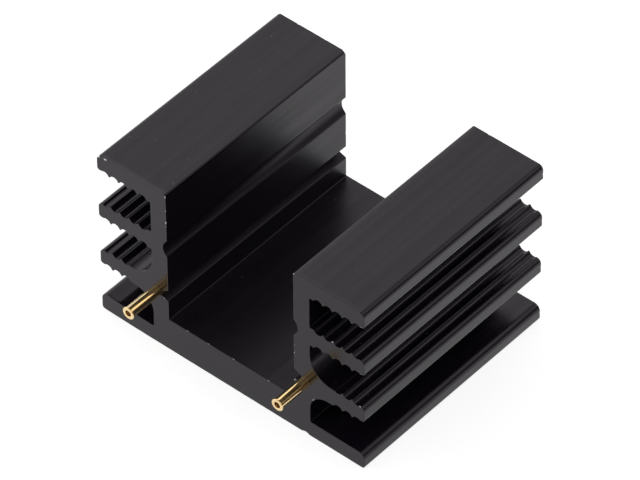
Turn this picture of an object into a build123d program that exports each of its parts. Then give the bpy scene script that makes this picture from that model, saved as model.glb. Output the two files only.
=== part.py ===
# Heat sink for one power transistor, lying on its flat underside.
# A black anodised aluminium extrusion, cut to length, carries the transistor on the
# floor of its central channel. Two hollow solder pins are pressed into its front end.
# Millimetres, +Z up, +Y along the extrusion. The origin is the middle of the underside.

from build123d import *
from math import cos, floor, radians, sin, sqrt
import os

os.makedirs("parts", exist_ok=True)

# The whole extrusion
overall_width = 45.0
overall_height = 27.8
length = 35.4

# Widths, from the middle outwards; the fins take up what is left
channel_width = 21.5
wall_thickness = 2.65

# Heights, from the underside upwards; the two upper gaps share what is left
flange_thickness = 2.55
floor_thickness = 5.45
flange_gap = 5.6
fin_thickness = 3.15
top_fin_thickness = 2.85

# Round corners of the section
flange_nose_radius = 1.0
nose_upper_radius = 0.75
nose_lower_radius = 0.4
channel_corner_radius = 0.1
wall_top_radius = 0.3
pocket_corner_radius = 0.2
under_root_radius = 3.1

# The lower fin's thick root curves up the wall to this far below the middle fin
straight_above_root = 1.9

# Small grooves that run along the fin faces, and the thinner nose outside them
groove_pitch = 1.6
groove_radius = 0.75
groove_depth = 0.48
ridge_radius = 0.08
nose_length = 1.25
nose_step = 0.32

# Round groove along each channel wall, level with the middle fin
wall_groove_radius = 1.75
wall_groove_depth = 0.7
wall_groove_edge_radius = 0.4

# Solder pins, rolled from strip, with a flange at the free end
pin_diameter = 1.6
pin_hole_diameter = 0.95
pin_protrusion = 5.6
pin_insertion = 6.0
pin_flange_diameter = 1.85
pin_flange_thickness = 0.25
pin_flange_edge_radius = 0.1
pin_seam_width = 0.12
right_seam_angle = 31
left_seam_angle = 205

# The C-shaped pin channel at the foot of each wall, open towards the middle
pin_setback = 1.95
pin_axis_above_fin = 1.4
pin_clearance = 0.02
mouth_gap = 0.85
upper_lip_rise = 0.7
lower_lip_drop = 0.43
upper_lip_radius = 0.2
lower_lip_radius = 0.2

# One dent from handling, where the front end meets the underside
dent_radius = 0.9
dent_depth = 0.22
dent_x = 12.6

# Places that follow from the sizes above
tip = overall_width / 2
wall_inner = channel_width / 2
wall_outer = wall_inner + wall_thickness
fin_reach = tip - wall_outer
lower_fin = flange_thickness + flange_gap
lower_fin_top = lower_fin + fin_thickness
top_fin = overall_height - top_fin_thickness
fin_gap = (top_fin - lower_fin_top - fin_thickness) / 2
thick_root_radius = fin_gap + nose_step - straight_above_root
middle_fin = lower_fin_top + fin_gap
middle_fin_top = middle_fin + fin_thickness
front = -length / 2
pin_x = wall_inner + pin_setback
pin_z = lower_fin + pin_axis_above_fin

# Grooves are counted inwards from the nose, as many as the plain part of the face holds
outer_groove = tip - nose_length
groove_half_width = sqrt(groove_radius**2 - (groove_radius - groove_depth) ** 2)
full_grooves = 1 + floor((fin_reach - nose_length - groove_half_width) / groove_pitch)
short_grooves = 1 + floor((fin_reach - nose_length - thick_root_radius) / groove_pitch)
last_short_groove = outer_groove - (short_grooves - 1) * groove_pitch


def near(x, z):
    """The section's corner that lies nearest to (x, z)."""
    return section.vertices().sort_by_distance((x, z, 0))[0]


def nose_corners():
    """The outermost corners of the section, from the lowest to the highest."""
    return section.vertices().group_by(Axis.X)[-1].sort_by(Axis.Y)


def cut_grooves(count, level, side):
    """Cut round grooves into a face at a height; side is +1 for a top, -1 for an underside."""
    rise = side * (groove_radius - groove_depth)
    places = [(outer_groove - n * groove_pitch, level + rise) for n in range(count)]
    with Locations(*places):
        Circle(groove_radius, mode=Mode.SUBTRACT)


def ridge_corners(count, level):
    """Both corners of each sharp ridge between the grooves of a face."""
    corners = []
    for n in range(count - 1):
        ridge = outer_groove - (n + 0.5) * groove_pitch
        corners += section.vertices().sort_by_distance((ridge, level, 0))[:2]
    return corners


# The right half of the section is drawn on the plane of the back end and mirrored
with BuildSketch(Plane.XZ.offset(front)) as section:
    Rectangle(tip, flange_thickness, align=(Align.MIN, Align.MIN))
    Rectangle(wall_outer, floor_thickness, align=(Align.MIN, Align.MIN))
    with Locations((wall_inner, 0)):
        Rectangle(wall_thickness, overall_height, align=(Align.MIN, Align.MIN))
    # Each fin is full height as far as its outermost groove, and its nose is thinner. The top of
    # the lower fin is as low as its nose between the wall and the innermost groove.
    for underside, top, ridges_from in (
        (lower_fin, lower_fin_top, last_short_groove),
        (middle_fin, middle_fin_top, wall_inner),
    ):
        with Locations((wall_inner, underside)):
            Rectangle(
                outer_groove - wall_inner,
                top - underside - nose_step,
                align=(Align.MIN, Align.MIN),
            )
        with Locations((ridges_from, underside)):
            Rectangle(outer_groove - ridges_from, top - underside, align=(Align.MIN, Align.MIN))
        with Locations((wall_inner, underside + nose_step)):
            Rectangle(tip - wall_inner, top - underside - 2 * nose_step, align=(Align.MIN, Align.MIN))
    with Locations((wall_inner, top_fin)):
        Rectangle(outer_groove - wall_inner, top_fin_thickness, align=(Align.MIN, Align.MIN))
    with Locations((wall_inner, top_fin + nose_step)):
        Rectangle(tip - wall_inner, top_fin_thickness - nose_step, align=(Align.MIN, Align.MIN))

    fillet(nose_corners()[0::2], nose_lower_radius)
    fillet(nose_corners()[1], flange_nose_radius)
    fillet(nose_corners()[3::2], nose_upper_radius)
    fillet(near(wall_inner, floor_thickness), channel_corner_radius)
    fillet(near(wall_inner, overall_height), wall_top_radius)
    fillet(near(wall_outer, lower_fin_top - nose_step), thick_root_radius)
    fillet(near(wall_outer, lower_fin), under_root_radius)
    for level in (flange_thickness, middle_fin, middle_fin_top, top_fin):
        fillet(near(wall_outer, level), pocket_corner_radius)

    cut_grooves(full_grooves, top_fin, -1)
    cut_grooves(full_grooves, middle_fin_top, 1)
    cut_grooves(full_grooves, middle_fin, -1)
    cut_grooves(short_grooves, lower_fin_top, 1)
    cut_grooves(short_grooves, lower_fin, -1)
    for count, level in (
        (full_grooves, top_fin),
        (full_grooves, middle_fin_top),
        (full_grooves, middle_fin),
        (short_grooves, lower_fin_top),
        (short_grooves, lower_fin),
    ):
        fillet(ridge_corners(count, level), ridge_radius)

    # Round groove in the channel wall
    groove_z = (middle_fin + middle_fin_top) / 2
    groove_centre = wall_inner + wall_groove_depth - wall_groove_radius
    with Locations((groove_centre, groove_z)):
        Circle(wall_groove_radius, mode=Mode.SUBTRACT)
    groove_rise = sqrt(wall_groove_radius**2 - (wall_groove_radius - wall_groove_depth) ** 2)
    fillet(near(wall_inner, groove_z - groove_rise), wall_groove_edge_radius)
    fillet(near(wall_inner, groove_z + groove_rise), wall_groove_edge_radius)

    # Pin channel: a bore along the extrusion and its V mouth
    bore_radius = pin_diameter / 2 + pin_clearance
    mouth_bottom = pin_z - mouth_gap / 2
    mouth_top = pin_z + mouth_gap / 2
    throat = pin_x - sqrt(bore_radius**2 - (mouth_gap / 2) ** 2)
    with Locations((pin_x, pin_z)):
        Circle(bore_radius, mode=Mode.SUBTRACT)
    with BuildLine():
        Polyline(
            (pin_x, mouth_bottom),
            (throat, mouth_bottom),
            (wall_inner, mouth_bottom - lower_lip_drop),
            (wall_inner, mouth_top + upper_lip_rise),
            (throat, mouth_top),
            (pin_x, mouth_top),
            close=True,
        )
    make_face(mode=Mode.SUBTRACT)
    fillet(near(wall_inner, mouth_bottom - lower_lip_drop), lower_lip_radius)
    fillet(near(wall_inner, mouth_top + upper_lip_rise), upper_lip_radius)
    mirror(about=Plane.YZ)

with BuildPart() as extruded_body:
    extrude(section.sketch, amount=length)
    with Locations((dent_x, front, dent_depth - dent_radius)):
        Sphere(dent_radius, mode=Mode.SUBTRACT)
extruded_body.part.label = "extruded_body"
export_step(extruded_body.part, "parts/extruded_body.step")


def pin_tube(axis_x):
    """The round form of one pin: a tube whose free end is spread into a flange."""
    with BuildSketch(Plane.XY.offset(pin_z)) as profile:
        with Locations((axis_x, 0)):
            with Locations((pin_hole_diameter / 2, front - pin_protrusion)):
                Rectangle(
                    (pin_diameter - pin_hole_diameter) / 2,
                    pin_protrusion + pin_insertion,
                    align=(Align.MIN, Align.MIN),
                )
                Rectangle(
                    (pin_flange_diameter - pin_hole_diameter) / 2,
                    pin_flange_thickness,
                    align=(Align.MIN, Align.MIN),
                )
        fillet(profile.vertices().group_by(Axis.X)[-1], pin_flange_edge_radius)
    revolve(profile.sketch, axis=Axis((axis_x, 0, pin_z), (0, 1, 0)))


def cut_seam(axis_x, angle):
    """The slit where the rolled strip meets, from behind the flange to the inner end."""
    seam_plane = Plane(
        origin=(axis_x, front - pin_protrusion + pin_flange_thickness, pin_z),
        x_dir=(cos(radians(angle)), 0, sin(radians(angle))),
        z_dir=(0, 1, 0),
    )
    with BuildSketch(seam_plane) as slit:
        Rectangle(pin_diameter, pin_seam_width, align=(Align.MIN, Align.CENTER))
    extrude(slit.sketch, amount=pin_protrusion + pin_insertion, mode=Mode.SUBTRACT)


with BuildPart() as solder_pin_left:
    pin_tube(-pin_x)
    cut_seam(-pin_x, left_seam_angle)
solder_pin_left.part.label = "solder_pin_left"
export_step(solder_pin_left.part, "parts/solder_pin_left.step")

with BuildPart() as solder_pin_right:
    pin_tube(pin_x)
    cut_seam(pin_x, right_seam_angle)
solder_pin_right.part.label = "solder_pin_right"
export_step(solder_pin_right.part, "parts/solder_pin_right.step")
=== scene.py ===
import bmesh
import bpy
import numpy as np
from mathutils import Matrix, Vector
from mathutils.geometry import delaunay_2d_cdt


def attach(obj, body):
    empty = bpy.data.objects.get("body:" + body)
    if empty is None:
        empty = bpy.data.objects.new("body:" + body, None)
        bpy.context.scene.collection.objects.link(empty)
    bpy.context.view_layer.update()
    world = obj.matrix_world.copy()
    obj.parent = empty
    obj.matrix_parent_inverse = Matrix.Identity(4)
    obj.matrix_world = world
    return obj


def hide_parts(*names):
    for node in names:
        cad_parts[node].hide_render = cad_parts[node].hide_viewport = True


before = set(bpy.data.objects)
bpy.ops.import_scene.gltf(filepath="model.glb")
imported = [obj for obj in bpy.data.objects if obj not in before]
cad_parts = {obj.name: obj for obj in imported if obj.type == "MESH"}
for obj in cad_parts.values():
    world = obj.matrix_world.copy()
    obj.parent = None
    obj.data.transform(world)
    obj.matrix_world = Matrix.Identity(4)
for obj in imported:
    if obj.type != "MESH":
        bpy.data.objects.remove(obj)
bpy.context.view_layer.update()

# The finned body is one bar of extruded aluminium with the same section from end to end. It is
# sawn to length, tumbled so that its cut edges lose their burr, and anodised black all over.
# It lies on its flat underside, and everything else is fixed to it.

# The sizes of the part are in millimetres, and a new piece turns them into metres
mm = 0.001
length = 35.4
tip = 22.5
overall_height = 27.8
wall_inner = 10.75
wall_outer = 13.4
flange_thickness = 2.55
floor_thickness = 5.45
lower_fin = 8.15
lower_fin_top = 11.3
middle_fin = 16.55
middle_fin_top = 19.7
top_fin = 24.95
front = -length / 2

flange_nose_radius = 1.0
nose_upper_radius = 0.75
nose_lower_radius = 0.4
nose_step = 0.32
channel_corner_radius = 0.18
wall_top_radius = 0.3
pocket_corner_radius = 0.2
under_root_radius = 3.1
thick_root_radius = 3.67

groove_pitch = 1.6
groove_radius = 0.75
groove_depth = 0.48
ridge_radius = 0.08
outer_groove = 21.25
full_grooves = 5
short_grooves = 3

wall_groove_radius = 1.75
wall_groove_depth = 0.7
wall_groove_edge_radius = 0.4

pin_x = 12.7
pin_z = 9.55
pin_bore_radius = 0.82
mouth_gap = 0.85
upper_lip_rise = 0.7
lower_lip_drop = 0.43
upper_lip_radius = 0.2
lower_lip_radius = 0.2

# How finely the section is divided: degrees along an arc, and millimetres along a straight run.
# Points closer than the smallest step are one point, and a hair is what two sizes may differ by.
arc_turn = 8
fewest_arc_points = 3
longest_step = 0.15
smallest_step = 1e-6
hair = 0.001


def arc(x, z, radius, start, end):
    """Points on a circle: the centre plus the radius times the cosine and sine of an angle in
    degrees, which turns evenly from start to end."""
    count = int(abs(end - start) / arc_turn) + fewest_arc_points
    angle = np.radians(np.linspace(start, end, count))
    return np.stack([x + radius * np.cos(angle), z + radius * np.sin(angle)], axis=1)


def nose(low, high, upper_radius):
    """The round outer end of a fin, from its underside to its top."""
    lower = arc(tip - nose_lower_radius, low + nose_lower_radius, nose_lower_radius, -90, 0)
    upper = arc(tip - upper_radius, high - upper_radius, upper_radius, 0, 90)
    return np.vstack([lower, upper])


def grooved_face(count, level, side):
    """A row of round grooves in a face; side is +1 for a top and -1 for an underside.

    A groove is the arc of a circle whose centre stands off the face, with a small rounding where
    it meets the ridge on each hand, and the outermost groove runs out into the thinner nose."""
    stand_off = groove_radius - groove_depth
    reach = groove_radius + ridge_radius
    ridge = np.degrees(np.arcsin((stand_off + ridge_radius) / reach))
    offset = reach * np.cos(np.radians(ridge))
    run_out = np.degrees(np.arcsin((stand_off + nose_step) / groove_radius))
    lip_in = arc(-offset, ridge_radius, ridge_radius, -90, -ridge)
    lip_out = arc(offset, ridge_radius, ridge_radius, 180 + ridge, 270)
    inner = np.vstack([lip_in, arc(0, -stand_off, groove_radius, 180 - ridge, ridge), lip_out])
    outer = np.vstack([lip_in, arc(0, -stand_off, groove_radius, 180 - ridge, run_out)])
    places = outer_groove - groove_pitch * np.arange(count - 1, 0, -1)
    shifts = np.stack([places, np.zeros(count - 1)], axis=1)
    row = (inner[None] + shifts[:, None]).reshape(-1, 2)
    row = np.vstack([row, outer + (outer_groove, 0)]) * (1, -side) + (0, level)
    return row[::-side]


def nose_and_top(count, underside, level):
    """The nose of a fin and the grooved top inside it. The outermost groove cuts into the nose's
    upper corner, so the points of each that lie inside the other are left out."""
    groove = (outer_groove, level + groove_radius - groove_depth)
    corner = (tip - nose_upper_radius, level - nose_step - nose_upper_radius)
    end = nose(underside + nose_step, level - nose_step, nose_upper_radius)
    end = end[np.hypot(*(end - groove).T) > groove_radius]
    row = grooved_face(count, level, 1)
    cut_off = (row[:, 0] > corner[0]) & (np.hypot(*(row - corner).T) > nose_upper_radius)
    return end, row[~cut_off]


def rounded_corner(before, corner, after, radius):
    """The arc that rounds an outer corner: it touches both straight runs, and its centre stands
    off them by the radius."""
    run_in = np.subtract(corner, before) / np.hypot(*np.subtract(corner, before))
    run_out = np.subtract(after, corner) / np.hypot(*np.subtract(after, corner))
    start = np.degrees(np.arctan2(run_in[1], run_in[0])) - 90
    turn = np.degrees(np.arccos(run_in @ run_out))
    centre = corner - run_in * radius * np.tan(np.radians(turn / 2))
    centre = centre + radius * np.array([-run_in[1], run_in[0]])
    return arc(centre[0], centre[1], radius, start, start + turn)


def right_half():
    """The right half of the section, from the middle of the underside round the fins to the
    middle of the channel floor, with the metal on the left of the path."""
    lower_nose, short_row = nose_and_top(short_grooves, lower_fin, lower_fin_top)
    middle_nose, full_row = nose_and_top(full_grooves, middle_fin, middle_fin_top)
    plain = lower_fin_top - nose_step
    last_groove = outer_groove - (short_grooves - 1) * groove_pitch
    short_row = short_row[(short_row[:, 0] > last_groove) | (short_row[:, 1] < plain)]
    stand_off = groove_radius - groove_depth + nose_step
    meeting = last_groove - np.sqrt(groove_radius**2 - stand_off**2)
    root = (wall_outer + thick_root_radius, plain + thick_root_radius)
    corner = pocket_corner_radius
    corner_x = wall_outer + corner

    groove_z = (middle_fin + middle_fin_top) / 2
    groove_x = wall_inner + wall_groove_depth - wall_groove_radius
    edge_x = wall_inner + wall_groove_edge_radius
    edge_reach = wall_groove_radius + wall_groove_edge_radius
    edge_turn = np.degrees(np.arccos((edge_x - groove_x) / edge_reach))
    edge_rise = edge_reach * np.sin(np.radians(edge_turn))

    mouth_top = pin_z + mouth_gap / 2
    mouth_bottom = pin_z - mouth_gap / 2
    bore_turn = np.degrees(np.arcsin(mouth_gap / 2 / pin_bore_radius))
    throat = pin_x - pin_bore_radius * np.cos(np.radians(bore_turn))
    upper_lip = (wall_inner, mouth_top + upper_lip_rise)
    lower_lip = (wall_inner, mouth_bottom - lower_lip_drop)
    return np.vstack([
        [(0, 0)],
        nose(0, flange_thickness, flange_nose_radius),
        arc(corner_x, flange_thickness + corner, corner, 270, 180),
        arc(wall_outer + under_root_radius, lower_fin - under_root_radius, under_root_radius, 180, 90),
        grooved_face(short_grooves, lower_fin, -1),
        lower_nose,
        short_row,
        [(meeting, plain)],
        arc(*root, thick_root_radius, 270, 180),
        arc(corner_x, middle_fin - corner, corner, 180, 90),
        grooved_face(full_grooves, middle_fin, -1),
        middle_nose,
        full_row,
        arc(corner_x, middle_fin_top + corner, corner, 270, 180),
        arc(corner_x, top_fin - corner, corner, 180, 90),
        grooved_face(full_grooves, top_fin, -1),
        nose(top_fin + nose_step, overall_height, nose_upper_radius),
        arc(wall_inner + wall_top_radius, overall_height - wall_top_radius, wall_top_radius, 90, 180),
        arc(edge_x, groove_z + edge_rise, wall_groove_edge_radius, 180, 180 + edge_turn),
        arc(groove_x, groove_z, wall_groove_radius, edge_turn, -edge_turn),
        arc(edge_x, groove_z - edge_rise, wall_groove_edge_radius, 180 - edge_turn, 180),
        rounded_corner((wall_inner, overall_height), upper_lip, (throat, mouth_top), upper_lip_radius),
        arc(pin_x, pin_z, pin_bore_radius, 180 - bore_turn, bore_turn - 180),
        rounded_corner((throat, mouth_bottom), lower_lip, (wall_inner, 0), lower_lip_radius),
        arc(wall_inner - channel_corner_radius, floor_thickness + channel_corner_radius,
            channel_corner_radius, 0, -90),
        [(0, floor_thickness)],
    ])


def divided(path):
    """A closed path with each long step cut into equal parts, and points that coincide left out."""
    step = np.roll(path, -1, axis=0) - path
    path = path[np.hypot(*step.T) > smallest_step]
    step = np.roll(path, -1, axis=0) - path
    parts = np.maximum(np.ceil(np.hypot(*step.T) / longest_step), 1).astype(int)
    first = np.cumsum(parts) - parts
    share = (np.arange(parts.sum()) - np.repeat(first, parts)) / np.repeat(parts, parts)
    return np.repeat(path, parts, axis=0) + share[:, None] * np.repeat(step, parts, axis=0)


def outward(path):
    """At each point of a closed path, the direction off the metal: the mean of the normals of
    the two steps that meet there, lengthened so that both steps move by the same distance. It is
    lengthened no further than at a right angle, where the sum of the normals squares to 2."""
    step = np.roll(path, -1, axis=0) - path
    step = step / np.hypot(*step.T)[:, None]
    normal = np.stack([step[:, 1], -step[:, 0]], axis=1)
    both = normal + np.roll(normal, 1, axis=0)
    return 2 * both / np.maximum((both**2).sum(axis=1), 2)[:, None]


half = right_half()
section = divided(np.vstack([half, (half * (-1, 1))[-2:0:-1]]))

# The left half of the base flange has been knocked up a little towards its tip
tip_lift_above = 0.5
tip_lift_under = 0.13
bend_power = 2
in_flange = (section[:, 0] < -wall_outer) & (section[:, 1] < flange_thickness + hair)
along_flange = np.clip((-section[:, 0] - wall_outer) / (tip - wall_outer), 0, 1)
tip_lift = tip_lift_under + (tip_lift_above - tip_lift_under) * section[:, 1] / flange_thickness
section[:, 1] += in_flange * tip_lift * along_flange**bend_power
off_metal = outward(section)

# Where the tumbling chipped the cut edges, as (x, z, reach along the edge, depth)
front_chips = np.array([
    (-14.75, 11.85, 0.60, 0.02),
    (-22.20, 27.65, 0.30, 0.17), (-21.05, 27.80, 0.28, 0.14), (-10.76, 27.50, 0.25, 0.09),
    (-10.75, 25.00, 0.16, 0.09), (-10.75, 22.90, 0.28, 0.11), (-10.75, 22.20, 0.14, 0.08),
    (10.76, 27.75, 0.20, 0.15), (10.75, 14.94, 0.18, 0.10), (10.75, 13.59, 0.25, 0.15),
    (22.05, 25.35, 0.30, 0.16), (17.26, 19.62, 0.20, 0.12), (21.48, 16.95, 0.22, 0.14),
    (22.00, 17.00, 0.25, 0.15), (14.00, 6.95, 0.22, 0.16), (21.80, 11.00, 0.18, 0.10),
    (10.80, 8.70, 0.20, 0.12), (-11.40, 8.95, 0.25, 0.06),
    (-7.52, 5.45, 0.22, 0.06), (-3.90, 5.45, 0.20, 0.055), (0.39, 5.45, 0.22, 0.06),
    (6.35, 5.45, 0.22, 0.06),
])
back_chips = np.array([
    (-18.86, 27.80, 0.25, 0.14), (-14.22, 27.80, 0.20, 0.12), (13.53, 27.80, 0.25, 0.14),
    (20.60, 27.80, 0.16, 0.09), (22.50, 26.30, 0.25, 0.13), (22.50, 18.00, 0.20, 0.11),
    (22.50, 9.60, 0.28, 0.14), (22.50, 1.30, 0.22, 0.12), (-22.50, 18.10, 0.24, 0.12),
    (-22.50, 2.20, 0.20, 0.11), (10.75, 22.10, 0.20, 0.12), (-10.75, 13.20, 0.22, 0.12),
    (4.80, 5.45, 0.20, 0.10), (-9.40, 0.00, 0.25, 0.13), (8.10, 0.00, 0.20, 0.10),
    (-10.85, 27.75, 0.50, 0.26),
])

# How round the cut edges are: a base radius that wavers, a share of it beside the pins and up the
# inner walls, and a limit where the section itself bends tightly
edge_radius = 0.05
edge_waver = 0.02
waver_lengths = (1.3, 3.1, 0.47)
snug_reach = 0.3
snug_share = 0.2
wall_edge_share = 0.7
ridge_limit = 0.07
tight_bend = 1 / (2 * ridge_radius)
points_beside = 2
on_inner_wall = (np.abs(section[:, 0]) < wall_outer) & (off_metal[:, 0] * section[:, 0] < 0)
on_inner_wall &= section[:, 1] > floor_thickness + channel_corner_radius
on_inner_wall &= section[:, 1] < overall_height - wall_top_radius


def chip_strength(chips):
    """How deep each point of the section is chipped: the deepest of the round hollows there, each
    falling off as one minus the squared share of its reach."""
    apart = np.hypot(section[:, :1] - chips[:, 0], section[:, 1:] - chips[:, 1])
    return (np.clip(1 - (apart / chips[:, 2]) ** 2, 0, 1) * chips[:, 3]).max(axis=1)


def edge_round(chips, shift):
    """The radius of a cut edge along the section: a base value and three slow waves, less round
    the pins and up the inner walls, and more at the chips. Where the section itself bends
    tightly, as round a ridge, and beside such a point, it is held to a limit."""
    step = np.roll(section, -1, axis=0) - section
    heading = np.arctan2(step[:, 1], step[:, 0])
    turn = np.mod(heading - np.roll(heading, 1) + np.pi, 2 * np.pi) - np.pi
    bend = turn / np.hypot(*step.T)
    bend = np.maximum(bend, np.roll(bend, 1))
    shifts = range(-points_beside, points_beside + 1)
    bend = np.max([np.roll(bend, places) for places in shifts], axis=0)
    run = np.cumsum(np.hypot(*step.T))
    waves = sum(np.sin(2 * np.pi * run / wave + shift * wave) for wave in waver_lengths)
    from_pin = np.hypot(np.abs(section[:, 0]) - pin_x, section[:, 1] - pin_z)
    snug = np.clip((from_pin - pin_bore_radius) / snug_reach, snug_share, 1)
    radius = snug * (edge_radius + edge_waver * waves / len(waver_lengths))
    radius = radius * np.where(on_inner_wall, wall_edge_share, 1)
    radius = np.maximum(radius, chip_strength(chips))
    return np.where(bend > tight_bend, np.minimum(radius, ridge_limit), radius)


# The rings of the body: across each rounded cut edge, then along the straight part. They lie
# closer together at the front, where the dent and the worn top edges are.
edge_rings = 5
edge_turns = np.radians(np.linspace(0, 90, edge_rings))
from_front_end = np.array([0.3, 0.4, 0.5, 0.6, 0.75, 1.0, 1.6, 3.0, 6.0, 11.0])
from_back_end = np.array([11.0, 6.0, 3.0, 1.0, 0.3])
stations = front + np.concatenate([from_front_end, length - from_back_end])
front_radius = edge_round(front_chips, shift=0)
back_radius = edge_round(back_chips, shift=1)
inset = 1 - np.sin(edge_turns)[:, None]
run_in = 1 - np.cos(edge_turns)[:, None]
straight = np.ones((len(stations), len(section)))
inward = np.vstack([inset * front_radius, 0 * straight, inset[::-1] * back_radius])
body_points = np.empty(inward.shape + (3,))
body_points[..., 0] = section[:, 0] - off_metal[:, 0] * inward
body_points[..., 1] = np.vstack([
    front + run_in * front_radius,
    stations[:, None] * straight,
    -front - run_in[::-1] * back_radius,
])
body_points[..., 2] = section[:, 1] - off_metal[:, 1] * inward

# The dent at the front of the underside is the upper part of a ball
dent_radius = 0.9
dent_depth = 0.22
dent_x = 12.6
ball_cap = dent_radius**2 - (body_points[..., 0] - dent_x) ** 2 - (body_points[..., 1] - front) ** 2
lift = np.sqrt(np.maximum(ball_cap, 0)) + dent_depth - dent_radius
low = body_points[..., 2] < flange_thickness / 2
body_points[..., 2] += np.where(low, np.maximum(lift, 0), 0)


def ring_faces(rings, points):
    """The quads that join each ring of points to the next, round and round."""
    here = np.arange(points)
    beside = np.roll(here, -1)
    start = points * np.arange(rings - 1)[:, None]
    after = start + points
    quads = np.stack([start + here, after + here, after + beside, start + beside], -1)
    return quads.reshape(-1, 4)


def flat_cap(outline):
    """The triangles that fill a closed outline of (x, z) points, without adding any point."""
    points = [Vector(point) for point in outline]
    rim = list(range(len(points)))
    inside_only = 1
    return np.array(delaunay_2d_cdt(points, [], [rim], inside_only, smallest_step)[2])


# Faces that meet at more than this turn, in degrees, meet in a sharp edge
sharp_turn = 50


def new_piece(name, points, curved, flat):
    """Makes a mesh object from points in millimetres, smooth quads and flat triangles."""
    mesh = bpy.data.meshes.new(name)
    mesh.from_pydata((points.reshape(-1, 3) * mm).tolist(), [], curved.tolist() + flat.tolist())
    mesh.set_sharp_from_angle(angle=np.radians(sharp_turn))
    smooth = np.arange(len(mesh.polygons)) < len(curved)
    mesh.polygons.foreach_set("use_smooth", smooth)
    piece = bpy.data.objects.new(name, mesh)
    bpy.context.scene.collection.objects.link(piece)
    return piece


front_cap = flat_cap(body_points[0][:, (0, 2)])
back_cap = flat_cap(body_points[-1][:, (0, 2)])[:, ::-1] + (len(body_points) - 1) * len(section)
sides = ring_faces(len(body_points), len(section))
finned_bar = new_piece("finned_bar", body_points, sides, np.vstack([front_cap, back_cap]))


def set_value(piece, name, values):
    """Stores a number for each corner of the smooth faces, read from the values at the points, for
    the material to read. The flat caps get none."""
    mesh = piece.data
    corner_points = np.empty(len(mesh.loops), dtype=np.int32)
    mesh.loops.foreach_get("vertex_index", corner_points)
    smooth = np.empty(len(mesh.polygons), dtype=bool)
    mesh.polygons.foreach_get("use_smooth", smooth)
    sides = np.empty(len(mesh.polygons), dtype=np.int32)
    mesh.polygons.foreach_get("loop_total", sides)
    layer = mesh.attributes.new(name, "FLOAT", "CORNER")
    layer.data.foreach_set("value", values.ravel()[corner_points] * np.repeat(smooth, sides))


# How bare the metal is: all bare where a chip broke the cut edge, and a little all along the
# front edges of the channel walls. The chips fade out across the last rings of an edge.
full_chip = 0.1
across = np.array([1, 1, 1, 0.6, 0])[:, None]
worn_wall_edge = 0.14
front_bare = np.clip(chip_strength(front_chips) / full_chip, 0, 1)
front_bare = across * np.maximum(front_bare, worn_wall_edge * on_inner_wall)
back_bare = across[::-1] * np.clip(chip_strength(back_chips) / full_chip, 0, 1)
set_value(finned_bar, "bare", np.vstack([front_bare, 0 * straight, back_bare]))

# How rubbed the skin is, which also paints a highlight: a lighter tone along every cut edge that is
# partly wear and partly a painted highlight standing in for the glint of the rounded edge, most so up
# the walls and over the top, and then on the top faces next to the front edge and along the right
# wall's inner rim
inner_wall_rub = 2
top_edge_rub = 2.0
top_wear_left = 1.3
top_wear_right = 0.5
top_wear_reach = 0.8
right_rim_wear = 1.1
rim_wear_reach = 1.0
on_top = section[:, 1] > overall_height - hair
top_wear = on_top * np.where(section[:, 0] < 0, top_wear_left, top_wear_right)
rub_and_highlight = across * np.where(on_inner_wall, inner_wall_rub, np.where(on_top, top_edge_rub, 1))
fade = np.clip(1 - (stations - front) / top_wear_reach, 0, 1)[:, None]
on_rim = (section[:, 0] > wall_inner - hair) & (section[:, 1] > overall_height - wall_top_radius)
from_rim = (section[:, 0] - wall_inner) / rim_wear_reach
rim_wear = right_rim_wear * on_rim * np.clip(1 - from_rim, 0, 1)
side_wear = np.maximum(top_wear * fade, rim_wear)
rubbed_and_highlit = np.vstack([np.maximum(rub_and_highlight, top_wear), side_wear, rub_and_highlight[::-1]])
set_value(finned_bar, "rubbed_and_highlit", rubbed_and_highlit)

# The die left the channel a little coarser than the rest, and most so in the wall grooves, in the
# floor's corners and in the mouth of each pin channel. The top of the bent flange is smoother.
channel_coarseness = 0.55
flange_smoothness = -0.9
groove_coarseness = 0.8
lowest_coarse = pin_z - mouth_gap / 2 - lower_lip_drop - lower_lip_radius
highest_coarse = pin_z + mouth_gap / 2 + upper_lip_rise + upper_lip_radius
in_mouth = (section[:, 1] > lowest_coarse) & (section[:, 1] < highest_coarse)
in_mouth &= (np.abs(section[:, 0]) < pin_x) & (np.abs(section[:, 0]) > wall_inner - hair)
in_channel = (section[:, 1] > floor_thickness - hair) & (np.abs(section[:, 0]) < pin_x)
in_channel &= section[:, 1] < overall_height - wall_top_radius
in_groove = in_channel & (np.abs(section[:, 0]) > wall_inner + hair)
in_corner = in_channel & (np.abs(section[:, 0]) > wall_inner - channel_corner_radius)
in_corner &= section[:, 1] < floor_thickness + channel_corner_radius
coarse = [channel_coarseness * in_channel, groove_coarseness * in_groove, in_mouth, in_corner]
coarse = np.max(coarse, axis=0)
on_flange = (section[:, 0] < -wall_outer) & (section[:, 0] > flange_nose_radius - tip)
on_flange &= section[:, 1] > flange_thickness / 2
on_flange &= (section[:, 1] < flange_thickness + tip_lift_above) & (off_metal[:, 1] > 0)
coarse = np.where(on_flange, flange_smoothness, coarse)
set_value(finned_bar, "coarse", coarse * np.ones((len(body_points), 1)))


def add_node(tree, kind, inputs=None, **properties):
    """Adds a shader node, and sets or links its inputs, which are given by name or number."""
    made = tree.nodes.new(kind)
    for name, value in properties.items():
        setattr(made, name, value)
    for name, value in (inputs or {}).items():
        if isinstance(value, bpy.types.NodeSocket):
            tree.links.new(value, made.inputs[name])
        else:
            made.inputs[name].default_value = value
    return made


def number(tree, operation, *values):
    """Adds a sum on numbers or sockets, and returns its result."""
    return add_node(tree, "ShaderNodeMath", dict(enumerate(values)), operation=operation).outputs[0]


def spread(tree, value, start, end, low=0.0, high=1.0, **properties):
    """Carries the range from start to end over to the range from low to high, and holds beyond."""
    limits = {"Value": value, "From Min": start, "From Max": end, "To Min": low, "To Max": high}
    return add_node(tree, "ShaderNodeMapRange", limits, **properties).outputs[0]


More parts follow.
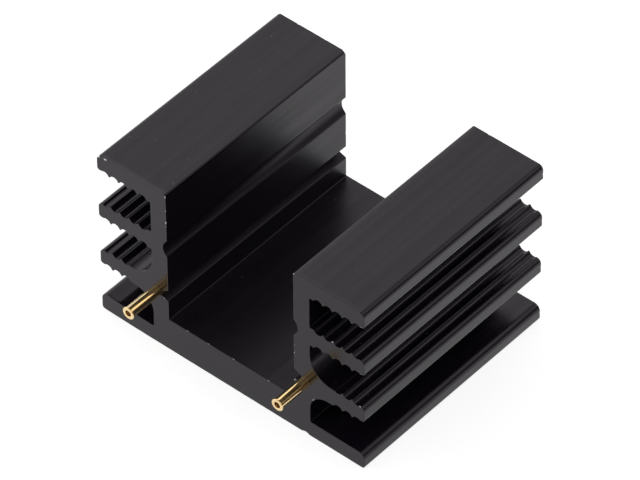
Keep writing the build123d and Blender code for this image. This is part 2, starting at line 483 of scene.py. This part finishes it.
def blend(tree, share, first, second):
    """Mixes two colours by a share, and returns the colour."""
    colours = {"Factor": share, "A": first, "B": second}
    return add_node(tree, "ShaderNodeMix", colours, data_type="RGBA").outputs[2]


def noise(tree, place, per_metre, detail):
    """Adds noise of so many waves a metre at a place on the piece, and returns its value."""
    waves = {"Vector": place, "Scale": per_metre, "Detail": detail}
    return add_node(tree, "ShaderNodeTexNoise", waves).outputs[0]


def give_relief(tree, shader, lines, line_depth, grains, grain_depth):
    """Gives a shader a bump of lines and one of grain on top of it, with depths in millimetres."""
    bump = {"Distance": line_depth * mm, "Height": lines}
    bump = add_node(tree, "ShaderNodeBump", bump).outputs[0]
    bump = {"Distance": grain_depth * mm, "Height": grains, "Normal": bump}
    bump = add_node(tree, "ShaderNodeBump", bump).outputs[0]
    tree.links.new(bump, shader.inputs["Normal"])


def new_effect(name, inputs, outputs):
    """Starts a shader node group with named number inputs and outputs."""
    tree = bpy.data.node_groups.new(name, "ShaderNodeTree")
    for socket, value in inputs.items():
        made = tree.interface.new_socket(socket, in_out="INPUT", socket_type="NodeSocketFloat")
        made.default_value = value
    for socket in outputs:
        tree.interface.new_socket(socket, in_out="OUTPUT", socket_type="NodeSocketFloat")
    return tree, add_node(tree, "NodeGroupInput"), add_node(tree, "NodeGroupOutput")


def new_finish(name):
    """Starts a material and returns it with its node tree and its shader node."""
    finish = bpy.data.materials.new(name)
    finish.use_nodes = True
    return finish, finish.node_tree, finish.node_tree.nodes["Principled BSDF"]


# Lengthwise lines: noise that is drawn out along the way the bar left the die, once as fine lines
# for the relief and once as broad streaks for the tone
line_detail = 3.0
streak_detail = 2.0
streak_width = 0.4
line_inputs = {"Per Metre": 2500, "Stretch": 0.02}
draw_lines, lines_in, lines_out = new_effect("draw lines", line_inputs, ["Height", "Tone"])
place = add_node(draw_lines, "ShaderNodeTexCoord").outputs["Object"]
stretch = {"X": 1.0, "Y": lines_in.outputs["Stretch"], "Z": 1.0}
stretch = add_node(draw_lines, "ShaderNodeCombineXYZ", stretch).outputs[0]
drawn = add_node(draw_lines, "ShaderNodeVectorMath", {0: place, 1: stretch}, operation="MULTIPLY")
per_metre = lines_in.outputs["Per Metre"]
line = noise(draw_lines, drawn.outputs[0], per_metre, line_detail)
broad = number(draw_lines, "MULTIPLY", per_metre, streak_width)
broad = noise(draw_lines, drawn.outputs[0], broad, streak_detail)
draw_lines.links.new(line, lines_out.inputs["Height"])
draw_lines.links.new(broad, lines_out.inputs["Tone"])

# Grain: fine even noise of the etched and anodised skin, with slow patches in its tone
grain_detail = 2.0
patch_detail = 3.0
patch_share = 0.05
grain, grain_in, grain_out = new_effect("grain", {"Per Metre": 5000}, ["Height", "Tone"])
place = add_node(grain, "ShaderNodeTexCoord").outputs["Object"]
per_metre = grain_in.outputs["Per Metre"]
patches = number(grain, "MULTIPLY", per_metre, patch_share)
grain.links.new(noise(grain, place, per_metre, grain_detail), grain_out.inputs["Height"])
grain.links.new(noise(grain, place, patches, patch_detail), grain_out.inputs["Tone"])

# Dust: round specks of different sizes, scattered, most of them missing
dust_inputs = {"Per Metre": 700, "Largest": 0.1, "Share": 0.6}
dust, dust_in, dust_out = new_effect("dust", dust_inputs, ["Mask"])
place = add_node(dust, "ShaderNodeTexCoord").outputs["Object"]
cells = {"Vector": place, "Scale": dust_in.outputs["Per Metre"]}
cells = add_node(dust, "ShaderNodeTexVoronoi", cells)
draw = add_node(dust, "ShaderNodeSeparateColor", {0: cells.outputs["Color"]})
size = number(dust, "MULTIPLY", draw.outputs[0], dust_in.outputs["Largest"])
near = spread(dust, cells.outputs["Distance"], size, 0.0)
there = number(dust, "LESS_THAN", draw.outputs[1], dust_in.outputs["Share"])
dust.links.new(number(dust, "MULTIPLY", near, there), dust_out.inputs["Mask"])

# The black skin: its colours, the share that each kind of wear takes, with the rubbed tone partly a
# painted highlight along the cut edges, and its gloss. Dust begins to lie where a face is less than
# steep, and lies fully where it is level.
deep_black = (0.0035, 0.0022, 0.0045, 1)
soft_black = (0.006, 0.0042, 0.0075, 1)
rubbed_and_highlit_black = (0.09, 0.083, 0.082, 1)
dust_grey = (0.13, 0.13, 0.14, 1)
bare_aluminium = (0.80, 0.79, 0.78, 1)
violet_gloss = (1.0, 0.915, 1.0, 1)
rub_and_highlight_share = 0.35
fine_specks = {"Per Metre": 1500, "Largest": 0.18, "Share": 0.4}
lying_dust = 0.5
steep = 0.2
level = 0.7
patch_gloss = 0.08
coarse_gloss = 0.18
skin_ior = 1.4


def black_anodised(name, line_depth, grain_depth, roughness, streak, upright_dust):
    """The black skin: nearly black and satin, with dust on it, bare metal at the chips of its
    edges, and a bump of lengthwise lines and of grain. Fine dust lies on whatever faces up, and
    only a share of it clings to upright faces."""
    finish, tree, shader = new_finish(name)
    skin = add_node(tree, "ShaderNodeGroup", node_tree=grain).outputs
    drawn = add_node(tree, "ShaderNodeGroup", node_tree=draw_lines).outputs
    specks = add_node(tree, "ShaderNodeGroup", node_tree=dust).outputs["Mask"]
    fine_dust = add_node(tree, "ShaderNodeGroup", fine_specks, node_tree=dust).outputs["Mask"]
    facing = add_node(tree, "ShaderNodeNewGeometry").outputs["Normal"]
    facing = add_node(tree, "ShaderNodeSeparateXYZ", {0: facing}).outputs["Z"]
    settled = spread(tree, facing, steep, level, upright_dust, lying_dust)
    fine_dust = number(tree, "MULTIPLY", fine_dust, settled)
    dusty = number(tree, "MAXIMUM", specks, fine_dust)
    bare = add_node(tree, "ShaderNodeAttribute", attribute_name="bare").outputs["Fac"]
    rubbed_and_highlit = add_node(tree, "ShaderNodeAttribute", attribute_name="rubbed_and_highlit").outputs["Fac"]
    coarse = add_node(tree, "ShaderNodeAttribute", attribute_name="coarse").outputs["Fac"]

    tone = blend(tree, skin["Tone"], deep_black, soft_black)
    # The rubbed tone is partly wear and partly a painted highlight along the cut edges
    tone = blend(tree, number(tree, "MULTIPLY", rubbed_and_highlit, rub_and_highlight_share), tone, rubbed_and_highlit_black)
    tone = blend(tree, dusty, tone, dust_grey)
    tone = blend(tree, bare, tone, bare_aluminium)
    tree.links.new(tone, shader.inputs["Base Color"])
    tree.links.new(bare, shader.inputs["Metallic"])

    gloss = number(tree, "MULTIPLY", drawn["Tone"], streak)
    gloss = number(tree, "MULTIPLY_ADD", skin["Tone"], patch_gloss, gloss)
    gloss = number(tree, "ADD", gloss, roughness - patch_gloss / 2 - streak / 2)
    gloss = number(tree, "MULTIPLY_ADD", coarse, coarse_gloss, gloss)
    tree.links.new(gloss, shader.inputs["Roughness"])
    give_relief(tree, shader, drawn["Height"], line_depth, skin["Height"], grain_depth)
    shader.inputs["IOR"].default_value = skin_ior
    shader.inputs["Specular Tint"].default_value = violet_gloss
    return finish


drawn_skin = black_anodised(
    "drawn black anodising",
    line_depth=0.0016,
    grain_depth=0.0006,
    roughness=0.26,
    streak=0.25,
    upright_dust=0.1,
)
sawn_skin = black_anodised(
    "sawn black anodising",
    line_depth=0.0,
    grain_depth=0.0012,
    roughness=0.21,
    streak=0.0,
    upright_dust=0.5,
)
finned_bar.data.materials.append(drawn_skin)
finned_bar.data.materials.append(sawn_skin)
ends = (np.arange(len(finned_bar.data.polygons)) >= len(sides)).astype(np.int32)
finned_bar.data.polygons.foreach_set("material_index", ends)
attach(finned_bar, "root")
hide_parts("extruded_body")

# The two solder pins are rolled from strip, gold plated, and pressed into the round channels at
# the foot of the walls. A flange at the free end stops them in the board, and the strip's two
# edges meet in a seam along one side.
pin_radius = 0.8
pin_hole_radius = 0.475
pin_protrusion = 5.6
pin_insertion = 6.0
flange_radius = 0.925
flange_depth = 0.25
flange_edge = 0.1
flange_root = 0.05
hole_edge = 0.06
seam_width = 0.12
seam_edge = 0.05
seam_edge_shares = np.array([0, 0.25, 0.6])
pin_runs = 14
pin_columns = 90


def pin_profile():
    """The cut through one side of the pin as (radius, distance from the free end): down the
    outside to the flange, round the flange into the hole, and back up inside the hole."""
    run = np.linspace(pin_protrusion + pin_insertion, flange_depth + flange_root, pin_runs)
    outside = np.stack([np.full(pin_runs, pin_radius), run], axis=1)
    inside = np.stack([np.full(pin_runs, pin_hole_radius), run[::-1]], axis=1)
    edge_x = flange_radius - flange_edge
    flange = np.vstack([
        arc(pin_radius + flange_root, flange_depth + flange_root, flange_root, 180, 270)[1:],
        arc(edge_x, flange_depth - flange_edge, flange_edge, 90, 0),
        arc(edge_x, flange_edge, flange_edge, 0, -90),
        arc(pin_hole_radius + hole_edge, hole_edge, hole_edge, -90, -180),
    ])
    return np.vstack([outside, flange, inside])


def pin_surface(axis_x, seam_angle):
    """The profile turned about the pin's axis, from one lip of the seam round to the other. Beside
    the seam the outside falls away in a quarter circle; the flange is a closed ring."""
    profile = pin_profile()
    points = len(profile)
    lip = seam_edge * seam_edge_shares
    half_gap = seam_width / 2 / pin_radius
    near = half_gap + lip / pin_radius
    past_edge = half_gap + seam_edge / pin_radius
    middle = np.linspace(past_edge, 2 * np.pi - past_edge, pin_columns)
    angles = np.concatenate([near, middle, 2 * np.pi - near[::-1]])
    edge_drop = seam_edge - np.sqrt(seam_edge**2 - (seam_edge - lip) ** 2)
    drop = np.concatenate([edge_drop, np.zeros(pin_columns), edge_drop[::-1]])
    outside = np.arange(points) < pin_runs
    radius = profile[:, 0] - drop[:, None] * outside
    turn = np.radians(seam_angle) + angles[:, None]
    surface = np.stack([
        axis_x + radius * np.cos(turn),
        front - pin_protrusion + profile[:, 1] + 0 * turn,
        pin_z + radius * np.sin(turn),
    ], axis=2)

    here = np.arange(points)
    beside = np.roll(here, -1)
    column = points * np.arange(len(angles) - 1)[:, None]
    next_column = column + points
    skin = [column + here, column + beside, next_column + beside, next_column + here]
    skin = np.stack(skin, -1)
    last = points * (len(angles) - 1)
    flange_start = pin_runs - 1
    flange_end = points - pin_runs
    ring = np.arange(flange_start, flange_end)
    bridge = np.stack([last + ring, last + ring + 1, ring + 1, ring], -1)
    stop = np.array([[flange_start, last + flange_start, last + flange_end, flange_end]])
    out = np.arange(pin_runs - 1)
    wall = np.stack([out, out + 1, points - 2 - out, points - 1 - out], -1)
    return surface, np.vstack([skin.reshape(-1, 4), bridge, stop, wall, (last + wall)[:, ::-1]])


gold_line_inputs = {"Per Metre": 6000, "Stretch": 0.03}
gold_grain_inputs = {"Per Metre": 7000}
deep_gold = (1.0, 0.62, 0.22, 1)
bright_gold = (1.0, 0.69, 0.3, 1)
painted_sheen_gold = (1.0, 0.78, 0.43, 1)
square_on = 0.1
turned_away = 0.45
smoothest_gold = 0.1
roughest_gold = 0.18
hole_roughness = 0.35
gold_line_depth = 0.0004
gold_grain_depth = 0.0001
gold_metallic = 0.95


def gold_plating():
    """Bright gold over a drawn surface: faint lines along the pin and a slow waver in the gloss. Its
    colour is painted paler where the surface turns away from the view, a painted sheen, and it is
    duller inside the hole."""
    finish, tree, shader = new_finish("gold plating")
    drawn = add_node(tree, "ShaderNodeGroup", gold_line_inputs, node_tree=draw_lines).outputs
    skin = add_node(tree, "ShaderNodeGroup", gold_grain_inputs, node_tree=grain).outputs
    # Painted sheen: the gold colour is made paler towards grazing view
    facing = add_node(tree, "ShaderNodeLayerWeight").outputs["Facing"]
    painted_sheen = spread(tree, facing, square_on, turned_away)
    tone = blend(tree, drawn["Tone"], deep_gold, bright_gold)
    tone = blend(tree, painted_sheen, tone, painted_sheen_gold)
    tree.links.new(tone, shader.inputs["Base Color"])
    inside = add_node(tree, "ShaderNodeAttribute", attribute_name="inside").outputs["Fac"]
    gloss = spread(tree, skin["Tone"], 0.0, 1.0, smoothest_gold, roughest_gold)
    gloss = number(tree, "MULTIPLY_ADD", inside, hole_roughness, gloss)
    tree.links.new(gloss, shader.inputs["Roughness"])
    give_relief(tree, shader, drawn["Height"], gold_line_depth, skin["Height"], gold_grain_depth)
    shader.inputs["Metallic"].default_value = gold_metallic
    return finish


gold = gold_plating()
left_seam_angle = 205
right_seam_angle = 31
for side, axis_x, seam_angle in (
    ("left", -pin_x, left_seam_angle),
    ("right", pin_x, right_seam_angle),
):
    surface, quads = pin_surface(axis_x, seam_angle)
    pin = new_piece("hollow_pin_" + side, surface, quads, np.empty((0, 3), dtype=int))
    shell = bmesh.new()
    shell.from_mesh(pin.data)
    bmesh.ops.recalc_face_normals(shell, faces=shell.faces)
    shell.to_mesh(pin.data)
    shell.free()
    in_hole = np.arange(surface.shape[1]) > surface.shape[1] - pin_runs
    set_value(pin, "inside", in_hole * np.ones((len(surface), 1)))
    pin.data.materials.append(gold)
    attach(pin, "root")
    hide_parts("solder_pin_" + side)

# The table is a wide white sheet that the part lies on, and it fills the whole picture. It glows
# evenly towards the camera. In reflections its colour is darker and its glow is uneven, with painted
# shade and light: dimmer at the front, where it stands in for the part's shadow on the sheet, brighter
# towards the back, and a painted pool of window light on the left. It still takes the part's shadow.
table_size = 3.0
table_drop = 0.00002
corner = table_size / 2
table_corners = np.array([(-1, -1, 0), (1, -1, 0), (1, 1, 0), (-1, 1, 0)]) * corner
table_corners[:, 2] = -table_drop
mesh = bpy.data.meshes.new("table")
mesh.from_pydata(table_corners.tolist(), [], [(0, 1, 2, 3)])
table = bpy.data.objects.new("table", mesh)
bpy.context.scene.collection.objects.link(table)

# Its colours and its glow, with the painted shade and the painted window light that reflections see;
# the places where the glow changes are in metres
white_sheet = (0.45, 0.45, 0.45, 1)
reflected_sheet = (0.25, 0.24, 0.245, 1)
sheet_roughness = 0.9
sheet_gloss = 0.0
glow_in_picture = 0.78
painted_shade_glow_front = 0.7
glow_at_back = 0.93
painted_shade_front_y = -0.02
painted_shade_back_y = 0.012
painted_window_light = 0.12
painted_window_light_start_x = -0.006
painted_window_light_full_x = -0.026
white, tree, shader = new_finish("white table")
path = add_node(tree, "ShaderNodeLightPath").outputs
seen = number(tree, "MAXIMUM", path["Is Camera Ray"], path["Is Glossy Ray"])
seen = number(tree, "MAXIMUM", seen, path["Is Transmission Ray"])
spot = add_node(tree, "ShaderNodeTexCoord").outputs["Object"]
spot = add_node(tree, "ShaderNodeSeparateXYZ", {0: spot}).outputs
# Painted shade and light in reflections: less glow at the front near the part, more towards the back,
# and a painted pool of window light on the left
painted_shade_ramp = spread(tree, spot["Y"], painted_shade_front_y, painted_shade_back_y, painted_shade_glow_front, glow_at_back)
left = spread(tree, spot["X"], painted_window_light_start_x, painted_window_light_full_x, 0.0, painted_window_light)
glow = {"Factor": path["Is Camera Ray"], "A": number(tree, "ADD", painted_shade_ramp, left), "B": glow_in_picture}
glow = add_node(tree, "ShaderNodeMix", glow).outputs[0]
glow = number(tree, "MULTIPLY", seen, glow)
sheet = blend(tree, path["Is Glossy Ray"], white_sheet, reflected_sheet)
tree.links.new(sheet, shader.inputs["Base Color"])
tree.links.new(glow, shader.inputs["Emission Strength"])
shader.inputs["Emission Color"].default_value = (1, 1, 1, 1)
shader.inputs["Roughness"].default_value = sheet_roughness
shader.inputs["Specular IOR Level"].default_value = sheet_gloss
table.data.materials.append(white)

# The light is a pale studio room: a dim band above the table, a bright one higher up that the top
# faces reflect, and a tall window on the left. Levels are by the height that a ray points to.
room_levels = [
    (0.0, 0.42), (0.05, 0.4), (0.12, 0.18), (0.45, 0.18), (0.6, 1.05),
    (0.72, 1.55), (0.8, 0.75), (0.9, 0.42), (1.0, 0.4),
]
window_top = 0.62
window_full = 0.46
window_foot = -0.05
window_bright = 0.28
window_dimmest = 0.15
window_edge = -0.35
window_inside = -0.6
white_level = 1.0
room_strength = 1.0
world = bpy.data.worlds.new("studio room")
bpy.context.scene.world = world
world.use_nodes = True
tree = world.node_tree
way = add_node(tree, "ShaderNodeTexCoord").outputs["Generated"]
way = add_node(tree, "ShaderNodeSeparateXYZ", {0: way}).outputs
bands = add_node(tree, "ShaderNodeValToRGB", {0: way["Z"]})
ramp = bands.color_ramp
for _ in room_levels[2:]:
    ramp.elements.new(1.0)
for stop, (height, brightness) in zip(ramp.elements, room_levels):
    stop.position = height
    stop.color = (brightness, brightness, brightness, 1)
low = spread(tree, way["Z"], window_top, window_full, interpolation_type="SMOOTHSTEP")
rise = spread(
    tree, way["Z"], window_foot, window_bright, window_dimmest, white_level,
    interpolation_type="SMOOTHSTEP",
)
window = spread(tree, way["X"], window_edge, window_inside, interpolation_type="SMOOTHSTEP")
window = number(tree, "MULTIPLY", low, window)
window = number(tree, "MULTIPLY", window, rise)
light = number(tree, "ADD", bands.outputs[0], window)
camera_ray = add_node(tree, "ShaderNodeLightPath").outputs["Is Camera Ray"]
light = {"Factor": camera_ray, "A": light, "B": white_level}
light = add_node(tree, "ShaderNodeMix", light).outputs[0]
room = tree.nodes["Background"]
tree.links.new(light, room.inputs["Color"])
room.inputs["Strength"].default_value = room_strength

# The camera looks down at the channel from the front right, from far off through a long lens. Its
# place is given from a foot point on the front end, along its own three directions.
azimuth = np.radians(40.984)
elevation = np.radians(44.468)
roll = np.radians(-0.464)
camera_distance = 883.43
camera_right = 11.403
camera_up = 18.927
focal_length = 384.1
camera_foot = 0.2
farthest_seen = 5
toward_camera = np.array([
    np.sin(azimuth) * np.cos(elevation),
    -np.cos(azimuth) * np.cos(elevation),
    np.sin(elevation),
])
level_right = np.array([np.cos(azimuth), np.sin(azimuth), 0])
level_up = np.cross(toward_camera, level_right)
right = np.cos(roll) * level_right + np.sin(roll) * level_up
up = np.cos(roll) * level_up - np.sin(roll) * level_right
lens = bpy.data.cameras.new("camera")
lens.lens = focal_length
lens.clip_end = farthest_seen
camera = bpy.data.objects.new("camera", lens)
bpy.context.scene.collection.objects.link(camera)
place = np.array([0, front, camera_foot]) + camera_distance * toward_camera
place = place + camera_right * right + camera_up * up
turn = Matrix((right, up, toward_camera)).transposed().to_4x4()
camera.matrix_world = Matrix.Translation(place * mm) @ turn
bpy.context.scene.camera = camera
bpy.context.scene.view_settings.view_transform = "Standard"
